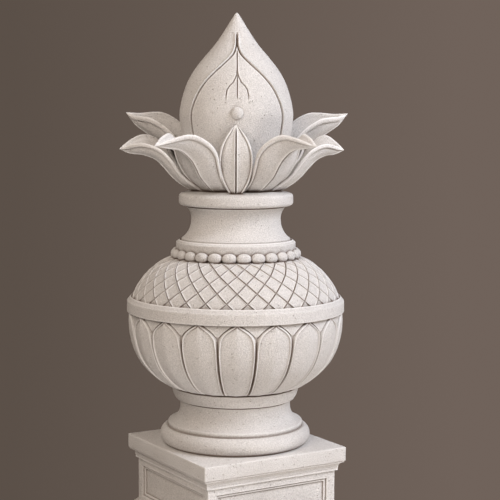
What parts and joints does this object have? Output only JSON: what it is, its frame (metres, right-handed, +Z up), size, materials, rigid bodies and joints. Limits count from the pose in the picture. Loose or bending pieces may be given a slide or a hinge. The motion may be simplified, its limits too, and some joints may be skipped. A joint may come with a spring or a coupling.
{
  "type": "post cap finial",
  "caption": "Cast stone finial: lotus bud over a leafed and netted urn, on a square post cap and the head of its post.",
  "frame": {"origin": "centre of the flat underside of the post head", "axes": "+Z up along the finial's axis; X and Y square to the post's faces; the finial's front is turned 30 degrees from -Y towards -X"},
  "size_m": [0.4138, 0.4219, 0.9271],
  "materials": {
    "cast_stone": "matt, fine sandy grain with small pits"
  },
  "bodies": {
    "root": {"post_head": "cast_stone", "post_cap": "cast_stone", "finial": "cast_stone"}
  },
  "joints": []
}
